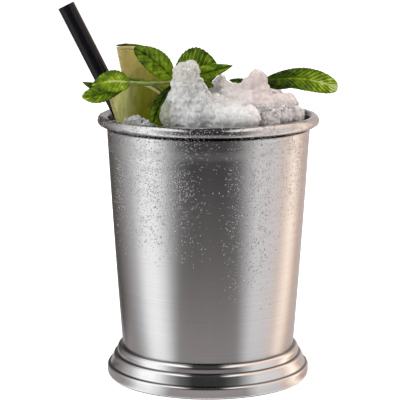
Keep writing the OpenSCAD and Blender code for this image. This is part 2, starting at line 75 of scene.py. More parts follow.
def arc(centre, radius, start, end, steps):
    turn = [start + (end - start) * i / steps for i in range(steps + 1)]
    return [
        (
            centre[0] + radius * math.cos(math.radians(a)),
            centre[1] + radius * math.sin(math.radians(a)),
        )
        for a in turn
    ]


def feed(tree, node, inputs):
    """Links or sets a node's inputs, given by their names or numbers."""
    for name, value in inputs.items():
        if isinstance(value, bpy.types.NodeSocket):
            tree.links.new(value, node.inputs[name])
        else:
            node.inputs[name].default_value = value


def add_node(tree, kind, inputs=None, **settings):
    """Adds a node with its settings and inputs, and gives its outputs."""
    made = tree.nodes.new(kind)
    for name, value in settings.items():
        setattr(made, name, value)
    feed(tree, made, inputs or {})
    return made.outputs


def maths(tree, operation, *values):
    return add_node(tree, "ShaderNodeMath", dict(enumerate(values)), operation=operation)[0]


def times(tree, first, second):
    return maths(tree, "MULTIPLY", first, second)


def plus(tree, first, second):
    return maths(tree, "ADD", first, second)


def minus(tree, first, second):
    return maths(tree, "SUBTRACT", first, second)


def axes(tree, place):
    return add_node(tree, "ShaderNodeSeparateXYZ", {0: place})


def new_group(name, kind, inputs, outputs):
    """A Geometry or Shader group with named sockets, and the outputs of its input node."""
    group = bpy.data.node_groups.new(name, f"{kind}NodeTree")
    for in_out, sockets in (("INPUT", inputs), ("OUTPUT", outputs)):
        for label, value in sockets.items():
            group.interface.new_socket(label, in_out=in_out, socket_type=f"NodeSocket{value}")
    return group, group.nodes.new("NodeGroupInput").outputs


def point_place(tree):
    return add_node(tree, "GeometryNodeInputPosition")[0]


def smoothed(tree, geometry):
    return add_node(tree, "GeometryNodeSetShadeSmooth", {"Geometry": geometry})[0]


def end_tree(tree, geometry, finish, label):
    """Ends a geometry tree: instances made real, and the finish set."""
    real = add_node(tree, "GeometryNodeRealizeInstances", {"Geometry": geometry})[0]
    coating = {"Geometry": real, "Material": finish}
    coated = add_node(tree, "GeometryNodeSetMaterial", coating)[0]
    add_node(tree, "NodeGroupOutput", {label: coated})
    return tree


def turned_tree():
    """The profile in the object's mesh, turned about Z into a closed smooth skin."""
    tree, start = new_group(
        "turned_profile",
        "Geometry",
        {"Profile": "Geometry", "Segments": "Int", "Finish": "Material"},
        {"Skin": "Geometry"},
    )
    profile = {"Geometry": start["Profile"]}
    row_count = add_node(tree, "GeometryNodeAttributeDomainSize", profile)["Point Count"]
    counts = {"Vertices X": plus(tree, start["Segments"], 1), "Vertices Y": row_count}
    grid = add_node(tree, "GeometryNodeMeshGrid", counts)
    place = point_place(tree)
    apart = axes(tree, place)
    share = plus(tree, apart["Y"], 0.5)
    row = times(tree, share, minus(tree, row_count, 1))
    found = add_node(
        tree,
        "GeometryNodeSampleIndex",
        {"Geometry": start["Profile"], "Value": place, "Index": maths(tree, "ROUND", row)},
        data_type="FLOAT_VECTOR",
        domain="POINT",
    )
    turned = add_node(
        tree,
        "ShaderNodeVectorRotate",
        {"Vector": found["Value"], "Angle": times(tree, apart["X"], 2 * math.pi)},
        rotation_type="Z_AXIS",
    )
    move = {"Geometry": grid["Mesh"], "Position": turned[0]}
    weld = {"Geometry": add_node(tree, "GeometryNodeSetPosition", move)[0], "Distance": 1e-6}
    closed = add_node(tree, "GeometryNodeMergeByDistance", weld)
    return end_tree(tree, smoothed(tree, closed[0]), start["Finish"], "Skin")


def add_object(name, mesh):
    made = bpy.data.objects.new(name, mesh)
    scene.collection.objects.link(made)
    return made


def keep_modified(made):
    """Leaves an object with the plain mesh that its modifiers make."""
    made.update_tag()
    graph = bpy.context.evaluated_depsgraph_get()
    plain = bpy.data.meshes.new_from_object(made.evaluated_get(graph))
    made.modifiers.clear()
    made.data = plain
    plain.name = made.name


def apply_tree(name, mesh, tree, values):
    made = add_object(name, mesh)
    modifier = made.modifiers.new("tree", "NODES")
    modifier.node_group = tree
    for socket in tree.interface.items_tree:
        if socket.in_out == "INPUT" and socket.name in values:
            modifier[socket.identifier] = values[socket.name]
    keep_modified(made)
    return made


def face_outwards(mesh, weld=False):
    work = bmesh.new()
    work.from_mesh(mesh)
    if weld:
        bmesh.ops.remove_doubles(work, verts=work.verts, dist=1e-7)
    bmesh.ops.recalc_face_normals(work, faces=work.faces)
    work.to_mesh(mesh)
    work.free()
    mesh.update()


def turn_profile(name, profile, material, sharp_angle=35):
    line = bpy.data.meshes.new(name)
    edges = [(i, i + 1) for i in range(len(profile) - 1)]
    line.from_pydata([(r, 0, z) for r, z in profile], edges, [])
    made = apply_tree(name, line, turning, {"Segments": round_segments, "Finish": material})
    face_outwards(made.data, weld=True)
    made.data.shade_smooth()
    made.data.set_sharp_from_angle(angle=math.radians(sharp_angle))
    return made


def object_place(tree):
    return add_node(tree, "ShaderNodeTexCoord")["Object"]


def vectors(tree, operation, first, second=None):
    inputs = {0: first}
    if second is not None:
        inputs["Scale" if operation == "SCALE" else 1] = second
    made = add_node(tree, "ShaderNodeVectorMath", inputs, operation=operation)
    return made["Value" if operation in ("LENGTH", "DOT_PRODUCT") else "Vector"]


def clouds(tree, place, scale, detail=2.0):
    look = {"Vector": place, "Scale": scale, "Detail": detail}
    return add_node(tree, "ShaderNodeTexNoise", look)["Fac"]


def brushed_lines_group():
    """Fine lines that run round the Z axis, with faint cloudy patches."""
    group, start = new_group(
        "brushed_lines",
        "Shader",
        {"Line Scale": "Float", "Patch Scale": "Float"},
        {"Lines": "Float", "Patches": "Float"},
    )
    place = object_place(group)
    stretched = vectors(group, "MULTIPLY", place, (0.003, 0.003, 1.0))
    lines = clouds(group, stretched, start["Line Scale"], 3.0)
    patches = clouds(group, place, start["Patch Scale"])
    add_node(group, "NodeGroupOutput", {"Lines": lines, "Patches": patches})
    return group


def new_material(name, inputs):
    made = bpy.data.materials.new(name)
    made.use_nodes = True
    shader = made.node_tree.nodes["Principled BSDF"]
    feed(made.node_tree, shader, inputs)
    return made, made.node_tree, shader


def shades(tree, fac, *stops):
    """A colour ramp with the given (place, colour) stops. One number stands for a grey."""
    ramp = tree.nodes.new("ShaderNodeValToRGB")
    tree.links.new(fac, ramp.inputs["Fac"])
    points = ramp.color_ramp.elements
    while len(points) < len(stops):
        points.new(1.0)
    for point, (place, colour) in zip(points, stops):
        point.position = place
        point.color = (*colour, 1) if isinstance(colour, tuple) else (*(colour,) * 3, 1)
    return ramp.outputs["Color"]


def span(tree, value, low, high, to_low=0.0, to_high=1.0):
    ends = {"From Min": low, "From Max": high, "To Min": to_low, "To Max": to_high}
    return add_node(tree, "ShaderNodeMapRange", {"Value": value, **ends})["Result"]


def bump(tree, height, distance, strength=1.0):
    relief = {"Height": height, "Distance": distance, "Strength": strength}
    return add_node(tree, "ShaderNodeBump", relief)["Normal"]


def mixed(tree, factor, first, second, blend="MIX"):
    colours = {"Factor": factor, "A": first, "B": second}
    kinds = {"data_type": "RGBA", "blend_type": blend}
    return add_node(tree, "ShaderNodeMix", colours, **kinds)["Result"]


def reach_of(tree, place):
    """How far a place is from the cup's axis."""
    return vectors(tree, "LENGTH", vectors(tree, "MULTIPLY", place, (1, 1, 0)))


def off_from(tree, value, middle):
    return maths(tree, "ABSOLUTE", minus(tree, value, middle))


def painted_shade_group():
    """Masks of painted shade: 1 on the inside of the cup and of the bead, and in the crevice
    under the bead.
    """
    group, start = new_group(
        "painted_shade_masks", "Shader", {"Bead Foot": "Float"}, {"Inside": "Float", "Crevice": "Float"}
    )
    place = object_place(group)
    reach, height = reach_of(group, place), axes(group, place)["Z"]
    skin = span(group, height, foot_h, wall_top_z, wall_foot_r, wall_top_r)
    depth = minus(group, skin, reach)
    wall_inside = span(group, depth, 0.1 * MM, 0.4 * MM)
    on_bead = maths(group, "GREATER_THAN", height, bead_z - 1.2 * MM)
    bead_depth = minus(group, bead_ring_r, reach)
    bead_inside = span(group, bead_depth, 0.1 * MM, 0.9 * MM, 0.0, 0.9)
    bead_inside = times(group, bead_inside, on_bead)
    inside = maths(group, "MAXIMUM", wall_inside, bead_inside)
    # Painted shade under the bead: a dark band just below its lowest edge.
    above = minus(group, height, start["Bead Foot"])
    below = span(group, above, -1.5 * MM, -1.0 * MM)
    crevice = times(group, below, span(group, above, 0.35 * MM, 0.6 * MM, 1.0, 0.0))
    add_node(group, "NodeGroupOutput", {"Inside": inside, "Crevice": crevice})
    return group


def brushed_steel(name, colour, roughness, line_depth, bead_foot):
    made, tree, shader = new_material(
        name, {"Metallic": 1.0, "Anisotropic": 0.75, "Anisotropic Rotation": 0.25}
    )
    scales = {"Line Scale": 5200.0, "Patch Scale": 28.0}
    lines = add_node(tree, "ShaderNodeGroup", scales, node_tree=brushed_lines)
    foot = {"Bead Foot": bead_foot}
    shade_masks = add_node(tree, "ShaderNodeGroup", foot, node_tree=painted_shade_masks)
    darker = tuple(0.93 * c for c in colour)
    clean = shades(tree, lines["Lines"], (0.35, darker), (0.65, colour))
    # Painted shade: the inside of the cup and of the bead painted darker, and the crevice under
    # the bead nearly black.
    inside_shade_share = times(tree, shade_masks["Inside"], 0.7)
    painted_inside_shade = mixed(tree, inside_shade_share, clean, (0.10, 0.09, 0.09, 1))
    painted_crevice_shade = mixed(tree, shade_masks["Crevice"], painted_inside_shade, (0.008, 0.008, 0.008, 1))
    uneven = span(tree, lines["Patches"], 0.3, 0.7, roughness - 0.03, roughness + 0.03)
    height = axes(tree, object_place(tree))["Z"]
    from_ring = off_from(tree, height, tool_ring_z)
    ringed = plus(tree, uneven, span(tree, from_ring, 0.6 * MM, 2.4 * MM, 0.14, 0.0))
    polished = span(tree, height, wall_top_z, bead_z - 0.6 * bead_r, 1.0, 0.5)
    tangent = add_node(tree, "ShaderNodeTangent", direction_type="RADIAL", axis="Z")
    looks = {
        "Base Color": painted_crevice_shade,
        "Roughness": times(tree, ringed, polished),
        "Normal": bump(tree, lines["Lines"], line_depth, 0.25),
        "Tangent": tangent[0],
    }
    feed(tree, shader, looks)
    return made


turning = turned_tree()
brushed_lines = brushed_lines_group()
painted_shade_masks = painted_shade_group()
wall_steel = brushed_steel("wall_steel", (0.65, 0.64, 0.64), 0.25, 0.00002, bead_z - bead_r)

corner_z = floor_z + floor_corner_r
corner_x = wall_r(corner_z) - floor_corner_r
wall_heights = [foot_h + (wall_top_z - foot_h) * i / 24 for i in range(25)]
shell_profile = (
    [(0.0, floor_z + sheet)]
    + arc((corner_x, corner_z), floor_corner_r - sheet, -90, 0, 8)
    + [(wall_r(z) - sheet, z) for z in wall_heights]
    + [(mouth_r, bead_z)]
    + arc((bead_ring_r, bead_z), bead_r, 165, -110, 36)
    + arc((bead_ring_r, bead_z), bead_r - sheet, -110, 168, 24)
    + [(wall_r(z), z) for z in reversed(wall_heights)]
    + arc((corner_x, corner_z), floor_corner_r, 0, -90, 8)
    + [(0.0, floor_z)]
)
cup_wall = turn_profile("cup_wall", shell_profile, wall_steel)
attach(cup_wall, "cup")
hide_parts("cup_shell")

# Foot. A ring pressed from the same sheet with two rounded steps over a straight band, its
# lower edge turned in to stand on. It slips over the wall's lower end and is soldered.
band_h, middle_rise = 5 * MM, 4.5 * MM
upper_r, middle_r, band_r = 38.4 * MM, 40.15 * MM, 42.65 * MM
upper_round, middle_round, band_round = 2.0 * MM, 1.6 * MM, 1.2 * MM
lower_round, stand_w = 0.7 * MM, 3.6 * MM
middle_top = band_h + middle_rise


def rounded_corner(r, top, radius, steps=10):
    return arc((r - radius, top - radius), radius, 0, 90, steps)


foot_steps = (
    rounded_corner(band_r, band_h, band_round)
    + rounded_corner(middle_r, middle_top, middle_round)
    + rounded_corner(upper_r, foot_h, upper_round)
)
foot_inside = [(r - sheet, z - sheet) for r, z in foot_steps]
foot_profile = (
    [(band_r - stand_w, sheet), (band_r - stand_w, 0.0)]
    + arc((band_r - lower_round, lower_round), lower_round, -90, 0, 6)
    + foot_steps
    + [(wall_r(foot_h), foot_h), (wall_r(foot_h), foot_h - sheet)]
    + list(reversed(foot_inside))
    + [(band_r - sheet, sheet), (band_r - stand_w, sheet)]
)
foot_steel = brushed_steel("foot_steel", (0.74, 0.73, 0.73), 0.10, 0.00001, 0.0)


def stain_or_shade(material, amount, colour):
    """Mixes a colour over the one that a material has: the lime's brown stem end, and the painted
    shade in the foot's creases.
    """
    tree = material.node_tree
    base = tree.nodes["Principled BSDF"].inputs["Base Color"]
    tree.links.new(mixed(tree, amount, base.links[0].from_socket, colour), base)


def crease_shade_and_joint(material, heights):
    """Dark lines at the given heights: painted shade in the creases between the foot's steps, and
    the dark joint where the ring meets the wall.
    """
    tree = material.node_tree
    height = axes(tree, object_place(tree))["Z"]
    dark = 0.0
    for seam in heights:
        near = span(tree, off_from(tree, height, seam), 0.10 * MM, 0.42 * MM, 0.8, 0.0)
        dark = maths(tree, "MAXIMUM", dark, near)
    stain_or_shade(material, dark, (0.03, 0.028, 0.027, 1))


# Painted shade in the creases of the foot, and its dark joint with the wall.
crease_shade_and_joint(foot_steel, (band_h, middle_top, foot_h))
foot_ring = turn_profile("foot", foot_profile, foot_steel)
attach(foot_ring, "cup")
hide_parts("foot_ring")

# Solder. A dull grey bead of tin that runs round inside the foot, where the ring meets the
# wall. Nobody sees it until the cup is turned over.
solder_tin, tree, shader = new_material("solder_tin", {"Metallic": 1.0, "Roughness": 0.5})
grain = clouds(tree, object_place(tree), 900.0, 4.0)
dull_grey = shades(tree, grain, (0.3, 0.30), (0.7, (0.48, 0.47, 0.46)))
feed(tree, shader, {"Base Color": dull_grey, "Normal": bump(tree, grain, 0.3 * MM)})
solder_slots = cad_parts["foot_solder"].data.materials
solder_slots.clear()
solder_slots.append(solder_tin)

# Water drops. Cold metal sweats: small domes of water cling to the outside of the wall and
# to the bead, thickest under the rim and in patches that run down the sides.


def azimuth_of(tree, place):
    """A place's turn about the cup's axis: 0 at the front, growing towards the right."""
    apart = axes(tree, place)
    return maths(tree, "ARCTAN2", apart["X"], times(tree, apart["Y"], -1.0))


# Where the cup sweats: middle azimuth and half width in degrees, lowest height in mm, and
# how thickly.
sweat_patches = ((-34, 26, 52, 0.9), (26, 14, 34, 0.7), (58, 16, 60, 0.6), (150, 40, 60, 0.8))
scatter_sockets = {
    "Density": "Float",
    "Smallest": "Float",
    "Largest": "Float",
    "Seed": "Int",
    "Finish": "Material",
}


def sweat_cover(tree, place):
    """How thickly the drops stand at a place, from 0 to 1."""
    azimuth, height = azimuth_of(tree, place), axes(tree, place)["Z"]
    thick = span(tree, height, 88 * MM, 110 * MM, 0.0, 0.25)
    for middle, half_width, lowest, most in sweat_patches:
        off = off_from(tree, azimuth, math.radians(middle))
        inner, outer = math.radians(half_width * 0.5), math.radians(half_width * 1.5)
        near = span(tree, off, inner, outer, 1.0, 0.0)
        high = span(tree, height, lowest * MM, (lowest + 30) * MM, 0.0, most)
        thick = maths(tree, "MAXIMUM", thick, times(tree, near, high))
    patchy = span(tree, clouds(tree, place, 110.0), 0.38, 0.55, 0.35, 1.0)
    return times(tree, thick, patchy)


def scattered(tree, start, ground, spacing, cover):
    """Random points on a ground, not closer than the spacing."""
    inputs = {
        "Mesh": start[ground],
        "Distance Min": spacing,
        "Density Max": start["Density"],
        "Density Factor": cover,
        "Seed": start["Seed"],
    }
    kind = "GeometryNodeDistributePointsOnFaces"
    return add_node(tree, kind, inputs, distribute_method="POISSON")


def random_between(tree, low, high, seed, kind="FLOAT"):
    limits = {"Min": low, "Max": high, "Seed": seed}
    return add_node(tree, "FunctionNodeRandomValue", limits, data_type=kind)["Value"]


def drops_tree():
    """Scatters small domes over the faces, thicker where the metal sweats most."""
    tree, start = new_group(
        "water_drops", "Geometry", {"Wall": "Geometry", **scatter_sockets}, {"Drops": "Geometry"}
    )
    cover = sweat_cover(tree, point_place(tree))
    spacing = times(tree, start["Smallest"], 2.4)
    spots = scattered(tree, start, "Wall", spacing, cover)
    dome_sizes = {"Vertices": 7, "Radius Top": 0.55, "Radius Bottom": 1.0, "Depth": 1.3}
    dome = add_node(tree, "GeometryNodeMeshCone", dome_sizes)["Mesh"]
    sinking = {"Geometry": dome, "Translation": (0, 0, -0.3)}
    sunk = add_node(tree, "GeometryNodeTransform", sinking)[0]
    mostly_small = maths(tree, "POWER", random_between(tree, 0.0, 1.0, start["Seed"]), 1.8)
    across = span(tree, mostly_small, 0.0, 1.0, start["Smallest"], start["Largest"])
    flat = times(tree, across, 0.4)
    shape = add_node(tree, "ShaderNodeCombineXYZ", {"X": across, "Y": across, "Z": flat})
    drops = add_node(
        tree,
        "GeometryNodeInstanceOnPoints",
        {
            "Points": spots["Points"],
            "Instance": smoothed(tree, sunk),
            "Rotation": spots["Rotation"],
            "Scale": shape[0],
        },
    )
    return end_tree(tree, drops[0], start["Finish"], "Drops")


def strew(name, ground, tree, density, smallest, largest, seed, finish):
    """Runs a scattering tree on a ground mesh, with sizes in mm and density per m2."""
    amounts = (density, smallest * MM, largest * MM, seed, finish)
    return apply_tree(name, ground, tree, dict(zip(scatter_sockets, amounts)))


def take_mesh(made):
    mesh = made.data
    bpy.data.objects.remove(made)
    return mesh


water_look = {"Roughness": 0.08, "IOR": 1.33, "Metallic": 0.6, "Transmission Weight": 1.0}
water = new_material("water", water_look)[0]
# Painted glints: pale, milky drops stand in for highlights on the wet metal.
glint, tree, shader = new_material(
    "glint", {"Roughness": 0.1, "IOR": 1.33, "Transmission Weight": 0.3}
)
shine = clouds(tree, object_place(tree), 900.0)
feed(tree, shader, {"Base Color": shades(tree, shine, (0.4, 0.6), (0.6, 0.9))})
shedding = drops_tree()
wall_line = [(wall_r(z), z) for z in wall_heights[4:]]
rim_line = arc((bead_ring_r, bead_z), bead_r, -50, 80, 14)
sweating = {
    "wall_drops": (wall_line, water, 5.0e6, 0.20, 0.42, 7),
    "wall_glints": (wall_line, glint, 0.3e6, 0.14, 0.24, 21),
    "rim_drops": (rim_line, water, 4.0e6, 0.20, 0.42, 3),
    "rim_glints": (rim_line, glint, 0.8e6, 0.16, 0.28, 23),
}
for name, (line, finish, *amounts) in sweating.items():
    skin = take_mesh(turn_profile(name, line, finish))
    drops = strew(name, skin, shedding, *amounts, finish)
    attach(drops, "cup")

# Crushed ice. Small wet grains of ice pressed into a packed bed and a loose heap, which
# freeze to each other where they touch. The heap leans on nothing but itself.


def copy_of(name, nodes, lumps=()):
    work = bmesh.new()
    for node in nodes:
        work.from_mesh(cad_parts[node].data)
    bmesh.ops.remove_doubles(work, verts=work.verts, dist=1e-6)
    for centre, radii in lumps:
        place = Matrix.Translation(Vector(centre) * MM) @ Matrix.Diagonal((*radii, 1000.0)) * MM
        bmesh.ops.create_icosphere(work, subdivisions=3, radius=1.0, matrix=place)
    mesh = bpy.data.meshes.new(name)
    work.to_mesh(mesh)
    work.free()
    return add_object(name, mesh)


def move_along_normals(mesh, distance):
    normals = [v.normal.copy() for v in mesh.vertices]
    for vertex, normal in zip(mesh.vertices, normals):
        vertex.co += normal * distance(vertex.co)
    mesh.update()


def remesh(made, voxel, rounds):
    """Builds a skin anew from small even faces and smooths it."""
    skin = made.modifiers.new("skin", "REMESH")
    skin.mode = "VOXEL"
    skin.voxel_size = voxel
    made.modifiers.new("soft", "SMOOTH").iterations = rounds
    keep_modified(made)


def melted(name, nodes, voxel, closing, rounding, lumps=()):
    """One skin round the nodes' solids, with the creases between them closed."""
    made = copy_of(name, nodes, lumps)
    move_along_normals(made.data, lambda co: closing)
    remesh(made, voxel, rounding)
    move_along_normals(made.data, lambda co: -closing)
    if closing > 0:
        remesh(made, voxel, 2)
    return made


def ice_finish(name, clear, strength, speckle, rough_low, rough_high, depth, frost, grit_depth):
    """Wet ice, pinkish on the right and full of air, painted lighter low down and painted with a
    greenish shade where the mint stands.
    """
    look = {
        "IOR": 1.31,
        "Transmission Weight": clear,
        "Subsurface Weight": 0.9,
        "Subsurface Radius": (1.0, 1.0, 1.0),
        "Subsurface Scale": depth,
        "Sheen Weight": frost,
        "Sheen Roughness": 0.35,
    }
    made, tree, shader = new_material(name, look)
    place = object_place(tree)
    apart = axes(tree, place)
    cloudy = clouds(tree, place, 420.0, 5.0)
    grains = add_node(tree, "ShaderNodeTexVoronoi", {"Vector": place, "Scale": 900.0})
    grain = add_node(tree, "ShaderNodeSeparateColor", {"Color": grains["Color"]})[0]
    side = span(tree, apart["X"], -2 * MM, 14 * MM)
    high = span(tree, apart["Z"], 116 * MM, 140 * MM)
    # Painted light: the ice is painted lighter low down, near the rim, where the rim and the
    # lumps shade it.
    left = shades(tree, high, (0.1, ice_tints["foot"]), (1.0, ice_tints["tower"]))
    far_right = span(tree, apart["X"], 14 * MM, 20 * MM, 0.0, 0.12)
    right = shades(
        tree,
        plus(tree, high, far_right),
        (0.0, ice_tints["front"]),
        (0.25, ice_tints["heap"]),
        (0.6, ice_tints["peak"]),
    )
    # Painted shade: the block at the front left, in the mint's shade.
    at_block = span(tree, off_from(tree, apart["X"], block_x), 3.0 * MM, 5.5 * MM, 1.0, 0.0)
    low = span(tree, off_from(tree, apart["Z"], block_z), 6 * MM, 8 * MM, 1.0, 0.0)
    ahead = span(tree, apart["Y"], -24 * MM, -18 * MM, 1.0, 0.0)
    painted_shade_share = times(tree, at_block, times(tree, low, ahead))
    with_painted_shade = mixed(tree, painted_shade_share, left, (*ice_tints["shade"], 1))
    tint = mixed(tree, side, with_painted_shade, right)
    fleck = times(tree, span(tree, grain, 0.0, 1.0, -0.12, 0.12), speckle)
    flecked = plus(tree, cloudy, fleck)
    cloud = shades(tree, flecked, (0.36, strength), (0.62, 1))
    veil = minus(tree, 1.0, times(tree, side, 0.6))
    looks = {
        "Base Color": mixed(tree, veil, tint, cloud, "MULTIPLY"),
        "Roughness": span(tree, cloudy, 0.35, 0.65, rough_low, rough_high),
        "Normal": bump(tree, clouds(tree, place, 1100.0), grit_depth, 0.7),
    }
    feed(tree, shader, looks)
    return made


def chips_tree():
    """Scatters chips of ice over the faces that look up or forwards, away from the rim."""
    tree, start = new_group(
        "ice_chips", "Geometry", {"Ground": "Geometry", **scatter_sockets}, {"Chips": "Geometry"}
    )
    reach = reach_of(tree, point_place(tree))
    inside = maths(tree, "LESS_THAN", reach, mouth_r - 2.4 * MM)
    slope = axes(tree, add_node(tree, "GeometryNodeInputNormal")[0])
    up = maths(tree, "GREATER_THAN", minus(tree, slope["Z"], slope["Y"]), 0.1)
    cover = times(tree, inside, up)
    smallest, seed = start["Smallest"], start["Seed"]
    spots = scattered(tree, start, "Ground", smallest, cover)
    chip = add_node(tree, "GeometryNodeMeshIcoSphere", {"Radius": 1.0, "Subdivisions": 1})
    size_seed, turn_seed = plus(tree, seed, 5), plus(tree, seed, 9)
    shape = random_between(tree, (0.55, 0.55, 0.35), (1.0, 1.0, 0.8), seed, "FLOAT_VECTOR")
    size = random_between(tree, smallest, start["Largest"], size_seed)
    turn = random_between(tree, (0, 0, 0), (6.28, 6.28, 6.28), turn_seed, "FLOAT_VECTOR")
    chips = add_node(
        tree,
        "GeometryNodeInstanceOnPoints",
        {
            "Points": spots["Points"],
            "Instance": chip["Mesh"],
            "Rotation": turn,
            "Scale": vectors(tree, "SCALE", shape, size),
        },
    )
    return end_tree(tree, chips[0], start["Finish"], "Chips")


chipping = chips_tree()
# The block of ice at the front left that lies in the mint's shade, painted darker and greener as
# a painted shade.
block_x, block_z = -18.5 * MM, 113 * MM
# The warm and pinkish tones are the ice's own; the lighter low tints (foot, front) are painted
# light, and shade is a painted shade.
ice_tints = {
    "shade": (0.36, 0.37, 0.30),
    "foot": (0.68, 0.69, 0.69),
    "tower": (0.63, 0.60, 0.53),
    "front": (0.82, 0.81, 0.80),
    "heap": (0.80, 0.70, 0.685),
    "peak": (0.70, 0.62, 0.595),
}
frosted_ice = ice_finish("frosted_ice", 0.35, 0.80, 1.6, 0.08, 0.28, 0.0022, 0.20, 0.00022)
wet_ice = ice_finish("wet_ice", 0.45, 0.90, 0.8, 0.08, 0.25, 0.0020, 0.20, 0.00010)
clear_ice = ice_finish("clear_ice", 0.60, 0.90, 1.0, 0.02, 0.10, 0.0020, 0.10, 0.00010)


def broken_tree():
    """Pushes a skin in and out: broken faces that each lean their own way, and grains."""
    sizes = ("Facet Size", "Facet Height", "Grain Size", "Grain Height", "Highest")
    tree, start = new_group(
        "broken_faces",
        "Geometry",
        {"Skin": "Geometry", **dict.fromkeys(sizes, "Float"), "Finish": "Material"},
        {"Broken": "Geometry"},
    )
    place, middle = point_place(tree), (0.5, 0.5, 0.5)
    wobble = add_node(tree, "ShaderNodeTexNoise", {"Vector": place, "Scale": 450.0})
    centred = vectors(tree, "SUBTRACT", wobble["Color"], middle)
    warped = vectors(tree, "ADD", place, vectors(tree, "SCALE", centred, 2.5 * MM))
    scale = maths(tree, "DIVIDE", 1.0, start["Facet Size"])
    cells = add_node(tree, "ShaderNodeTexVoronoi", {"Vector": warped, "Scale": scale})
    from_middle = vectors(tree, "SUBTRACT", warped, cells["Position"])
    lean = vectors(tree, "NORMALIZE", vectors(tree, "SUBTRACT", cells["Color"], middle))
    along = vectors(tree, "DOT_PRODUCT", from_middle, lean)
    facets = times(tree, times(tree, along, scale), start["Facet Height"])
    grid = {"Vector": place, "Scale": maths(tree, "DIVIDE", 1.0, start["Grain Size"])}
    grains = add_node(tree, "ShaderNodeTexVoronoi", grid, feature="DISTANCE_TO_EDGE")
    grain = span(tree, grains["Distance"], 0.0, 0.3, -0.5, 0.5)
    grain = times(tree, grain, start["Grain Height"])
    calm = span(tree, axes(tree, place)["X"], -1 * MM, 10 * MM, 1.0, 0.5)
    height = times(tree, plus(tree, facets, grain), calm)
    height = maths(tree, "MAXIMUM", maths(tree, "MINIMUM", height, start["Highest"]), -0.9 * MM)
    normal = add_node(tree, "GeometryNodeInputNormal")[0]
    push = {"Geometry": start["Skin"], "Offset": vectors(tree, "SCALE", normal, height)}
    pushed = add_node(tree, "GeometryNodeSetPosition", push)
    return end_tree(tree, smoothed(tree, pushed[0]), start["Finish"], "Broken")


breaking = broken_tree()


def ice_piece(name, nodes, material, heights, closing=1.1, voxel=0.5, highest=0.4, lumps=()):
    """The nodes' lumps as one mass: closed creases, broken faces and grains."""
    skin = take_mesh(melted(name, nodes, voxel * MM, closing * MM, 5, lumps))
    skin.materials.clear()
    values = {
        "Facet Size": 2.8 * MM,
        "Facet Height": heights[0] * MM,
        "Grain Size": 1.5 * MM,
        "Grain Height": heights[1] * MM,
        "Highest": highest * MM,
        "Finish": material,
    }
    made = apply_tree(name, skin, breaking, values)
    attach(made, "ice")
    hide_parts(*nodes)
    return made


def scatter_chips(name, ground, finish, *amounts):
    made = strew(name, ground.data.copy(), chipping, *amounts, finish)
    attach(made, "ice")


ice_piece(
    "ice_crown",
    ("ice_tower_top", "ice_tower_middle", "ice_tower_lower", "ice_tower_base")
    + ("ice_front_left", "ice_front_middle", "ice_front_right")
    + ("ice_small_peak", "ice_saddle", "ice_peak_top", "ice_peak_base", "ice_shoulder"),
    frosted_ice,
    (1.0, 0.30),
    closing=1.3,
    voxel=0.42,
    lumps=(
        ((7.5, -15.5, 117.5), (4.5, 4.2, 5.5)),
        ((3.0, -26.0, 115.5), (5.5, 5.0, 6.5)),
        ((8.5, -23.0, 113.0), (6.0, 5.0, 6.0)),
    ),
)
left_chips = ice_piece("ice_clear_left", ("ice_chips_left",), clear_ice, (1.3, 0.3))
right_chips = ice_piece("ice_clear_right", ("ice_chips_right",), wet_ice, (2.4, 0.3))
middle_chips = ice_piece("ice_clear_middle", ("ice_chips_middle",), frosted_ice, (1.3, 0.2))
back_chips = ice_piece("ice_back", ("ice_chips_back",), frosted_ice, (1.6, 0.2), voxel=0.6)
ice_bed = ice_piece(
    "ice_packed_bed", ("ice_bed",), frosted_ice, (1.6, 0.2), voxel=0.9, highest=-0.05
)
scatter_chips("left_shards", left_chips, clear_ice, 0.5e6, 0.6, 1.4, 12)
scatter_chips("right_shards", right_chips, clear_ice, 0.4e6, 0.7, 1.7, 13)
scatter_chips("middle_shards", middle_chips, frosted_ice, 0.3e6, 0.8, 1.8, 14)
scatter_chips("back_shards", back_chips, clear_ice, 0.2e6, 0.8, 2.0, 15)
scatter_chips("bed_shards", ice_bed, clear_ice, 0.12e6, 1.0, 2.0, 16)

# Straw. A black tube, extruded and cut square, that stands on the floor of the cup and
# leans on its rim. It is glossy, with faint marks from handling.
straw_r, straw_t, straw_len = 3.55 * MM, 0.5 * MM, 161 * MM
straw_lean = math.radians(26.6)
straw_at = (-0.884, 0.12)  # where it leaves the mouth, in shares of the mouth's radius
straw_end_z = floor_z + sheet + 0.3 * MM + straw_r * math.sin(straw_lean)
straw_end_x = mouth_r * straw_at[0] + (cup_h - straw_end_z) * math.tan(straw_lean)
inner_r, edge_r = straw_r - straw_t, 0.12 * MM
straw_black, tree, shader = new_material("straw_black", {"Specular IOR Level": 0.2})
marks = clouds(tree, object_place(tree), 700.0, 5.0)
straw_looks = {
    "Base Color": shades(tree, marks, (0.3, (0.002, 0.002, 0.003)), (0.8, (0.005, 0.005, 0.008))),
    "Roughness": span(tree, marks, 0.3, 0.8, 0.17, 0.30),
    "Normal": bump(tree, marks, 0.04 * MM, 0.4),
}
feed(tree, shader, straw_looks)
straw_profile = (
    [(inner_r, edge_r)]
    + arc((inner_r + edge_r, edge_r), edge_r, 180, 270, 3)
    + arc((straw_r - edge_r, edge_r), edge_r, -90, 0, 3)
    + arc((straw_r - edge_r, straw_len - edge_r), edge_r, 0, 90, 3)
    + arc((inner_r + edge_r, straw_len - edge_r), edge_r, 90, 180, 3)
    + [(inner_r, edge_r)]
)
straw = turn_profile("straw", straw_profile, straw_black, sharp_angle=60)
straw.data.transform(
    Matrix.Translation((straw_end_x, mouth_r * straw_at[1], straw_end_z))
    @ Matrix.Rotation(-straw_lean, 4, "Y")
)
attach(straw, "straw")
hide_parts("straw_tube")

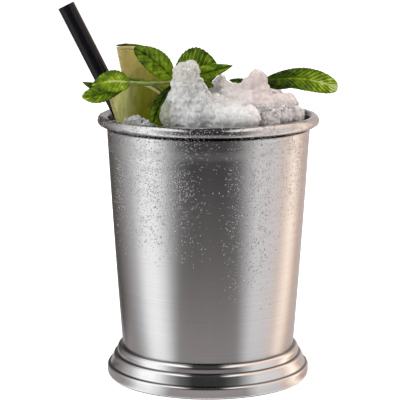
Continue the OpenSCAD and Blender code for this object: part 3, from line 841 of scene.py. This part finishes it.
# Limes. Two wedges cut from a lime: green oily skin, a white pith under it, and flesh in
# segments of long juice sacs round a core. The back one keeps its dark stem end.


def fruit_piece(side, piece, part, material, voxel, height, size):
    """One part of the back or the front lime, with a skin that swells a little."""
    node = f"lime_{side}_{part}"
    made = melted(f"{side}_lime_{piece}", (node,), voxel * MM, 0.0, 3)
    move_along_normals(made.data, lambda co: height * MM * (noise.noise(co / (size * MM)) - 0.3))
    made.data.shade_smooth()
    made.data.materials.clear()
    made.data.materials.append(material)
    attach(made, f"{side}_lime")
    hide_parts(node)


def flesh_finish(name, left, right, left_x, right_x, shade):
    """Juice sacs under a film of water, with a veil of fibres, and painted light: paler towards
    one side, darker towards the other.
    """
    look = {
        "Roughness": 0.35,
        "IOR": 1.36,
        "Specular IOR Level": 0.25,
        "Subsurface Weight": 0.6,
        "Subsurface Radius": (1.0, 0.9, 0.4),
        "Subsurface Scale": 0.0025,
    }
    made, tree, shader = new_material(name, look)
    place = object_place(tree)
    stretched = add_node(
        tree,
        "ShaderNodeMapping",
        {"Vector": place, "Rotation": (0, math.radians(40), 0), "Scale": (1.0, 1.0, 0.22)},
    )
    sacs = clouds(tree, stretched[0], 380.0, 4.0)
    drift = times(tree, clouds(tree, place, 90.0), 4 * MM)
    across = plus(tree, axes(tree, place)["X"], drift)
    # Painted light: the cut face painted paler towards one side and darker towards the other, as
    # the light falls on it.
    painted_light_share = span(tree, across, (left_x + 2) * MM, (right_x + 2) * MM)
    tint = shades(tree, painted_light_share, (0.0, left), (1.0, right))
    sac_light = shades(tree, sacs, (0.35, shade), (0.65, 1))
    flesh = mixed(tree, 1.0, tint, sac_light, "MULTIPLY")
    feed(tree, shader, {"Base Color": flesh, "Normal": bump(tree, sacs, 0.5 * MM, 0.6)})
    return made


def peel_finish(name, dark, light, scale, depth, roughness):
    look = {"Roughness": roughness, "Specular IOR Level": 0.15}
    made, tree, shader = new_material(name, look)
    pores = clouds(tree, object_place(tree), scale, 3.0)
    peel = shades(tree, pores, (0.35, dark), (0.65, light))
    feed(tree, shader, {"Base Color": peel, "Normal": bump(tree, pores, depth, 0.6)})
    return made


def brown_end(material, left_of, above):
    """The dry brown stem end: the corner of the skin that is left of and above a line."""
    tree = material.node_tree
    apart = axes(tree, object_place(tree))
    near = span(tree, apart["X"], left_of - 1 * MM, left_of + 1 * MM, 1.0, 0.0)
    high = span(tree, apart["Z"], above - 1 * MM, above + 1 * MM)
    stain_or_shade(material, times(tree, near, high), (0.012, 0.006, 0.003, 1))


lime_peel = peel_finish("lime_peel", (0.03, 0.05, 0.005), (0.09, 0.12, 0.01), 900.0, 0.0004, 0.55)
lime_pith = peel_finish("lime_pith", (0.32, 0.27, 0.09), (0.42, 0.36, 0.15), 600.0, 0.0003, 0.6)
brown_end(lime_peel, -33.5 * MM, 136.5 * MM)
# The flesh's pale side and dark side are painted light and shade.
back_flesh = flesh_finish("back_flesh", (0.40, 0.32, 0.11), (0.31, 0.30, 0.03), -34, -20, 0.75)
front_flesh = flesh_finish("front_flesh", (0.80, 0.82, 0.34), (0.17, 0.17, 0.006), -41, -28, 0.60)
for side, flesh in {"back": back_flesh, "front": front_flesh}.items():
    fruit_piece(side, "peel", "skin", lime_peel, 0.3, 0.12, 1.2)
    fruit_piece(side, "pith", "pith", lime_pith, 0.3, 0.06, 1.0)
    fruit_piece(side, "flesh", "flesh", flesh, 0.4, 0.2, 1.6)

# Mint. Two sprigs pushed into the ice. Each leaf is thin and quilted: it swells between
# side veins that sink into its face, and its edge has low teeth that point to its tip.
leaf_t, tooth_pitch, rib_w = 0.36 * MM, 1.5 * MM, 0.35 * MM
leaf_rows_along, leaf_rows_across = 90, 20
# A row: name, sprig, tone at the base and at the tip; pairs of side veins, how much paler
# they are, partly their own colour and partly painted light and shade of the quilted relief,
# and how much paler the middle rib; then as in the solids: base, tip, half width, arch, fold,
# lean, bow, skew and blunt.
leaf_rows = (
    ("outer", "left", (0.60, 0.46), (10, 0.26, 0.42), (-0.760, -0.462, 0.362),
     (-1.125, -0.475, 0.336), 0.112, 0.010, 12, 4, -0.025, 0.75, 0.65),
    ("lower", "left", (0.30, 0.62), (8, -0.20, -0.20), (-0.760, -0.405, 0.335),
     (-1.229, -0.400, 0.211), 0.085, 0.010, 12, 4, 0.020, 1.60, 0.60),
    ("curled", "left", (0.05, 0.10), (5, 0.10, 0.10), (-0.900, -0.388, 0.310),
     (-1.229, -0.374, 0.355), 0.045, 0.000, 6, 0, 0.030, 0.90, 0.80),
    ("lime", "left", (0.65, 0.38), (8, -0.20, -0.28), (-0.350, -0.425, 0.400),
     (-0.715, -0.440, 0.695), 0.120, 0.020, 10, 6, -0.025, 0.85, 0.55),
    ("arched", "left", (0.28, 0.36), (11, 0.60, 0.35), (-0.330, -0.400, 0.440),
     (0.095, -0.395, 0.495), 0.200, 0.010, 3, 0, 0.035, 1.00, 0.55),
    ("pointed", "left", (0.68, 0.44), (7, 0.25, -0.25), (-0.275, -0.490, 0.370),
     (0.232, -0.500, 0.530), 0.080, 0.010, 10, 4, 0.010, 0.80, 0.80),
    ("small", "left", (0.35, 0.35), (6, 0.20, 0.10), (-0.272, -0.452, 0.395),
     (0.054, -0.455, 0.325), 0.085, 0.005, 6, 0, 0.020, 0.80, 0.80),
    ("hanging", "left", (0.00, 0.35), (8, 0.25, -0.15), (-0.350, -0.470, 0.350),
     (-0.539, -0.560, -0.055), 0.075, 0.015, 12, 0, -0.025, 1.30, 0.70),
    ("long", "right", (0.12, 0.84), (14, -0.75, 0.25), (0.552, 0.020, 0.335),
     (1.288, -0.020, 0.268), 0.118, 0.020, 12, 6, 0.050, 1.45, 0.38),
    ("under", "right", (0.10, 0.10), (5, 0.05, 0.10), (0.552, 0.060, 0.285),
     (0.850, 0.085, 0.262), 0.040, 0.010, 12, 10, 0, 0.90, 0.80),
    ("hidden", "right", (0.30, 0.30), (5, 0.05, 0.10), (0.468, 0.085, 0.275),
     (0.205, 0.085, 0.330), 0.045, 0.010, 12, 4, 0, 0.90, 0.80),
)


def mouth_point(share):
    return Vector((0, 0, cup_h)) + mouth_r * Vector(share)


def leaf_mesh(name, tones, veining, base, tip, half_width, arch, fold, lean, bow, skew, blunt):
    base, tip = mouth_point(base), mouth_point(tip)
    along = tip - base
    facing = Vector((0, -math.cos(math.radians(lean)), math.sin(math.radians(lean))))
    across = facing.cross(along).normalized()
    normal = along.cross(across).normalized()
    fold = math.radians(fold)
    teeth = max(6, round(along.length / tooth_pitch))
    vein_pairs, vein_tone_and_relief_shade, rib_tone = veining
    swell = 0.24 * along.length / vein_pairs
    points, tone = [], []
    for side in (-1, 1):
        for i in range(leaf_rows_along + 1):
            u = i / leaf_rows_along
            broad = max(0.06, math.sin(math.pi * u**skew) ** blunt)
            half_w = mouth_r * half_width * broad
            tooth = (u * teeth) % 1.0
            bend, fade = math.sin(math.pi * u), u * u * (3 - 2 * u)
            for j in range(-leaf_rows_across, leaf_rows_across + 1):
                v = j / leaf_rows_across
                rim = abs(v) ** 6
                out = half_w * v * (1 + rim * (0.07 * tooth - 0.05))
                phase = (u - 0.22 * abs(v) ** 0.8) * vein_pairs + 0.2
                groove = abs(math.sin(math.pi * phase))
                vein = max(0.0, 1 - groove / (0.45 if vein_tone_and_relief_shade > 0 else 0.60)) * (1 - 0.5 * rim)
                rib = math.exp(-((v * half_w / rib_w) ** 2))
                quilt = swell * (min(1.0, groove * 1.6) ** 0.6) * (1 - abs(v) ** 4) * broad
                wave = 0.10 * half_w * rim * math.sin(5 * math.pi * u + 1.3 * v)
                aside = out * math.cos(fold) + mouth_r * bow * bend
                rise = half_w * abs(v) * math.sin(fold) + mouth_r * arch * bend
                rise += quilt - 0.8 * swell * rib + wave
                rise += side * (leaf_t / 2) * (1 - 0.6 * rim)
                points.append(base + along * u + across * aside + normal * rise)
                shade = tones[0] + (tones[1] - tones[0]) * fade - 0.20 * rim
                shade += 0.06 * noise.noise(Vector((u * 40, v * 9, vein_pairs)))
                # The veins' tone is partly their own colour and partly painted light and shade of
                # the quilted relief.
                strong = 0.4 + 0.6 * fade if vein_tone_and_relief_shade < 0 else 1.0
                tone.append(shade + strong * vein_tone_and_relief_shade * vein * (1 - rib) + rib_tone * rib)
    lanes = 2 * leaf_rows_across + 1
    half = (leaf_rows_along + 1) * lanes
    faces = []
    for i in range(leaf_rows_along):
        for j in range(lanes - 1):
            a = i * lanes + j
            faces.append((a, a + lanes, a + lanes + 1, a + 1))
            faces.append((half + a, half + a + 1, half + a + lanes + 1, half + a + lanes))
    ring = (
        [i * lanes for i in range(leaf_rows_along + 1)]
        + [leaf_rows_along * lanes + j for j in range(1, lanes)]
        + [i * lanes + lanes - 1 for i in reversed(range(leaf_rows_along))]
        + list(reversed(range(1, lanes - 1)))
    )
    for a, b in zip(ring, ring[1:] + ring[:1]):
        faces.append((a, half + a, half + b, b))
    mesh = bpy.data.meshes.new(name)
    mesh.from_pydata(points, [], faces)
    mesh.attributes.new("tone", "FLOAT", "POINT").data.foreach_set("value", tone)
    face_outwards(mesh)
    mesh.shade_smooth()
    return mesh


def leaf_finish():
    """Blotchy greens that follow the leaf's tone, which holds its own colour and the painted
    light and shade of its veins' relief, with a little light through it.
    """
    look = {
        "Roughness": 0.45,
        "Specular IOR Level": 0.15,
        "Subsurface Weight": 0.15,
        "Subsurface Radius": (0.6, 1.0, 0.1),
        "Subsurface Scale": 0.0004,
    }
    made, tree, shader = new_material("mint_leaf", look)
    place = object_place(tree)
    tone = add_node(tree, "ShaderNodeAttribute", attribute_name="tone")["Fac"]
    blotch = span(tree, clouds(tree, place, 420.0, 5.0), 0.3, 0.7, -0.28, 0.28)
    blade = shades(
        tree,
        plus(tree, tone, blotch),
        (0.0, (0.010, 0.022, 0.001)),
        (0.35, (0.050, 0.092, 0.001)),
        (0.65, (0.130, 0.200, 0.003)),
        (0.85, (0.260, 0.345, 0.014)),
        (1.0, (0.430, 0.480, 0.200)),
    )
    fuzz = bump(tree, clouds(tree, place, 1800.0, 4.0), 0.15 * MM, 0.6)
    feed(tree, shader, {"Base Color": blade, "Normal": fuzz})
    return made


mint_leaf = leaf_finish()
for label, sprig, *shape in leaf_rows:
    leaf = add_object(f"{label}_leaf", leaf_mesh(f"{label}_leaf", *shape))
    leaf.data.materials.append(mint_leaf)
    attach(leaf, f"{sprig}_mint")
    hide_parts(f"mint_leaf_{label}")

mint_stem = peel_finish("mint_stem", (0.10, 0.14, 0.03), (0.22, 0.26, 0.08), 500.0, 0.0002, 0.45)
stem_low = 90.3 * MM
stem_shares = {"left": (-0.320, -0.430, 0.375), "right": (0.510, 0.030, 0.335)}
side_stem_shares = {
    "outer": ((-0.356, -0.450, 0.366), (-0.460, -0.452, 0.356), (-0.600, -0.456, 0.354)),
    "lower": ((-0.356, -0.410, 0.360), (-0.460, -0.408, 0.342), (-0.600, -0.406, 0.334)),
    "curled": ((-0.620, -0.404, 0.333), (-0.748, -0.402, 0.331)),
}


def rods(name, runs):
    """Soft square rods along lines of (point, radius), closed at both ends."""
    around = 12
    points, faces = [], []
    for run in runs:
        first = len(points)
        for n, (point, radius) in enumerate(run):
            ahead = run[min(n + 1, len(run) - 1)][0] - run[max(n - 1, 0)][0]
            side = ahead.cross(Vector((0, 1, 0))).normalized()
            other = ahead.cross(side).normalized()
            for i in range(around):
                turn = 2 * math.pi * i / around
                out = radius * (1 + 0.08 * math.cos(4 * turn))
                points.append(point + out * (math.cos(turn) * side + math.sin(turn) * other))
        for n in range(len(run) - 1):
            for i in range(around):
                a, b = first + n * around + i, first + n * around + (i + 1) % around
                faces.append((a, b, b + around, a + around))
        faces.append(tuple(first + i for i in reversed(range(around))))
        faces.append(tuple(first + (len(run) - 1) * around + i for i in range(around)))
    mesh = bpy.data.meshes.new(name)
    mesh.from_pydata(points, [], faces)
    face_outwards(mesh, weld=True)
    mesh.shade_smooth()
    mesh.set_sharp_from_angle(angle=math.radians(50))
    mesh.materials.append(mint_stem)
    return add_object(name, mesh)


def leaf_stalk(sprig, label, base, tip):
    """The thin stalk from the main stem, or along a side stem, to a leaf's base."""
    base, tip = mouth_point(base), mouth_point(tip)
    end = base + (tip - base) * 0.06
    top = mouth_point(stem_shares[sprig])
    if label in side_stem_shares:
        route = [mouth_point(share) for share in side_stem_shares[label]]
        if label != "curled":
            route.insert(0, Vector((top.x, top.y, route[0].z + 0.1 * MM)))
        radii = [0.5 * MM] * len(route) + [0.5 * MM, 0.35 * MM]
    else:
        start = Vector((top.x, top.y, min(base.z - 0.8 * MM, top.z - 0.6 * MM)))
        route = [start, (start + base) / 2 + Vector((0, 0, 0.2 * MM))]
        radii = [0.55 * MM, 0.5 * MM, 0.42 * MM, 0.3 * MM]
    return list(zip([*route, base, end], radii))


for sprig, stems in {"left": ("stem", "side_stem"), "right": ("stem",)}.items():
    top = mouth_point(stem_shares[sprig])
    main = []
    for i in range(31):
        height = stem_low + (top.z - stem_low) * i / 30
        knot = 0.10 * max(0.0, math.sin(0.7 * i)) ** 4
        main.append((Vector((top.x, top.y, height)), (1.08 - 0.006 * i + knot) * MM))
    main.append((top + Vector((0.1, 0.1, 0.25)) * MM, 0.45 * MM))
    stalks = [
        leaf_stalk(sprig, label, shape[2], shape[3])
        for label, row_sprig, *shape in leaf_rows
        if row_sprig == sprig
    ]
    stem = rods(f"{sprig}_stems", [main, *stalks])
    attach(stem, f"{sprig}_mint")
    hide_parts(*[f"mint_{sprig}_{part}" for part in stems])

# Floor and backdrop. Plain pale card, out to where the camera sees nothing else. It shows
# as white and keeps the cup's soft shadow.
floor_size = 6.0
floor_corners = ((-1, -1), (1, -1), (1, 1), (-1, 1))
floor_points = [(x * floor_size, y * floor_size, 0) for x, y in floor_corners]
floor_mesh = bpy.data.meshes.new("floor")
floor_mesh.from_pydata(floor_points, [], [(0, 1, 2, 3)])
floor = add_object("floor", floor_mesh)


def seen_plainly(tree):
    """1 for the rays that look at a thing: camera, glossy and transmission rays."""
    rays = add_node(tree, "ShaderNodeLightPath")
    both = maths(tree, "MAXIMUM", rays["Is Camera Ray"], rays["Is Glossy Ray"])
    return maths(tree, "MAXIMUM", both, rays["Is Transmission Ray"])


card_look = {
    "Roughness": 0.9,
    "Base Color": (0.8, 0.8, 0.8, 1),
    "Specular IOR Level": 0.0,
    "Emission Color": (1, 1, 1, 1),
}
floor_card, tree, shader = new_material("floor_card", card_look)
feed(tree, shader, {"Emission Strength": times(tree, seen_plainly(tree), 0.6)})
floor_mesh.materials.append(floor_card)

world = bpy.data.worlds.new("studio")
world.use_nodes = True
scene.world = world
tree = world.node_tree
room_light, white_light = 0.62, 1.0
glow = span(tree, seen_plainly(tree), 0.0, 1.0, room_light, white_light)
feed(tree, tree.nodes["Background"], {"Strength": glow, "Color": (1, 1, 1, 1)})

# Light tent. Cloth panels round the cup that only polished things show: a dark opening
# towards the camera, a bright panel on either side and a warm one behind on the right.
tent_profile = (
    [(0.0431, 0.0004), (0.20, 0.0006), (0.40, 0.0006), (0.55, 0.03)]
    + [(0.60, 0.08 + 0.08 * i) for i in range(8)]
    + [(0.50, 0.74), (0.30, 0.80), (0.0, 0.82)]
)
tent_light = bpy.data.materials.new("tent_light")
tent_light.use_nodes = True
tree = tent_light.node_tree
tree.nodes.clear()
place = object_place(tree)
apart, azimuth, reach = axes(tree, place), azimuth_of(tree, place), reach_of(tree, place)
# The round wall mirrors what is near it narrower, so the panels narrow towards the foot.
mirror_r, nearest = 44 * MM, 46 * MM
twice = times(tree, maths(tree, "MAXIMUM", reach, nearest), 2.0)
nearness = maths(tree, "DIVIDE", mirror_r, minus(tree, twice, mirror_r))
seen_from_wall = times(tree, azimuth, plus(tree, nearness, 1.0))
turn_share = span(tree, seen_from_wall, -math.pi, math.pi)
tent_panels = (
    (-180, (0.42, 0.40, 0.40)),
    (-166, (0.10, 0.09, 0.09)),
    (-150, (0.11, 0.10, 0.09)),
    (-124, (0.32, 0.30, 0.30)),
    (-104, (0.62, 0.62, 0.63)),
    (-86, (1.30, 1.30, 1.32)),
    (-70, (1.35, 1.35, 1.37)),
    (-58, (1.05, 1.05, 1.07)),
    (-46, 0.50),
    (-34, 0.16),
    (-18, 0.04),
    (18, 0.04),
    (36, 0.16),
    (48, 0.55),
    (60, (0.92, 0.91, 0.92)),
    (88, (0.90, 0.86, 0.86)),
    (100, (0.95, 0.78, 0.69)),
    (120, (1.60, 1.35, 1.15)),
    (142, (0.76, 0.56, 0.47)),
    (165, (0.62, 0.56, 0.53)),
)
panel_light = shades(
    tree, turn_share, *[((angle + 180) / 360, colour) for angle, colour in tent_panels]
)
floor_fade = span(tree, reach, 0.08, 0.30)
floor_glow = shades(tree, floor_fade, (0.0, (0.37, 0.34, 0.34)), (1.0, 0.02))
by_foot = span(tree, reach, 0.045, 0.075, 0.85, 1.0)
not_left_back = span(tree, azimuth, -2.3, -1.8, 0.12, 1.0)
roof_light = shades(
    tree,
    span(tree, apart["X"], -0.5, 0.5),
    (0.0, 1.3),
    (0.16, 1.5),
    (0.29, 0.06),
    (0.66, 0.06),
    (0.80, (1.4, 1.34, 1.30)),
    (1.0, (1.3, 1.00, 0.82)),
)
lit_walls = mixed(tree, 1.0, panel_light, by_foot, "MULTIPLY")
lit_floor = mixed(tree, 1.0, floor_glow, not_left_back, "MULTIPLY")
lit_roof = mixed(tree, 1.0, roof_light, not_left_back, "MULTIPLY")
high = span(tree, apart["Z"], 0.34, 0.56)
inside_light = mixed(tree, high, mixed(tree, 1.0, lit_walls, lit_floor, "LIGHTEN"), lit_roof)
glossy_depth = add_node(tree, "ShaderNodeLightPath")["Glossy Depth"]
mirrored = maths(tree, "GREATER_THAN", glossy_depth, 0.5)
shown = mixed(tree, mirrored, (1, 1, 1, 1), inside_light)
tent_glow = add_node(tree, "ShaderNodeEmission", {"Color": shown})
add_node(tree, "ShaderNodeOutputMaterial", {"Surface": tent_glow[0]})
tent = turn_profile("light_tent", tent_profile, tent_light)
tent.visible_camera = tent.visible_diffuse = False
tent.visible_shadow = tent.visible_volume_scatter = False

# Lamps. Large soft boxes above, in front and on both sides, the right one a little warm.
# They light what is matt. Polished metal doesn't show them, because it shows the tent.
lamp_aim = Vector((0, 0, 0.1))


def add_lamp(name, place, size, power, colour=(1, 1, 1)):
    data = bpy.data.lights.new(name, "AREA")
    data.size = size
    data.energy = power
    data.color = colour
    lamp = bpy.data.objects.new(name, data)
    scene.collection.objects.link(lamp)
    aim_line = (lamp_aim - Vector(place)).to_track_quat("-Z", "Y")
    lamp.matrix_world = Matrix.Translation(place) @ aim_line.to_matrix().to_4x4()
    lamp.visible_glossy = False


add_lamp("left_box", (-0.9, -0.5, 0.7), 0.6, 6.0)
add_lamp("right_box", (0.9, 0.1, 0.6), 0.5, 5.0, (1, 0.88, 0.78))
add_lamp("top_box", (0.0, 0.3, 1.1), 0.8, 8.0)
add_lamp("front_fill", (-0.25, -1.1, 0.45), 0.7, 5.0)
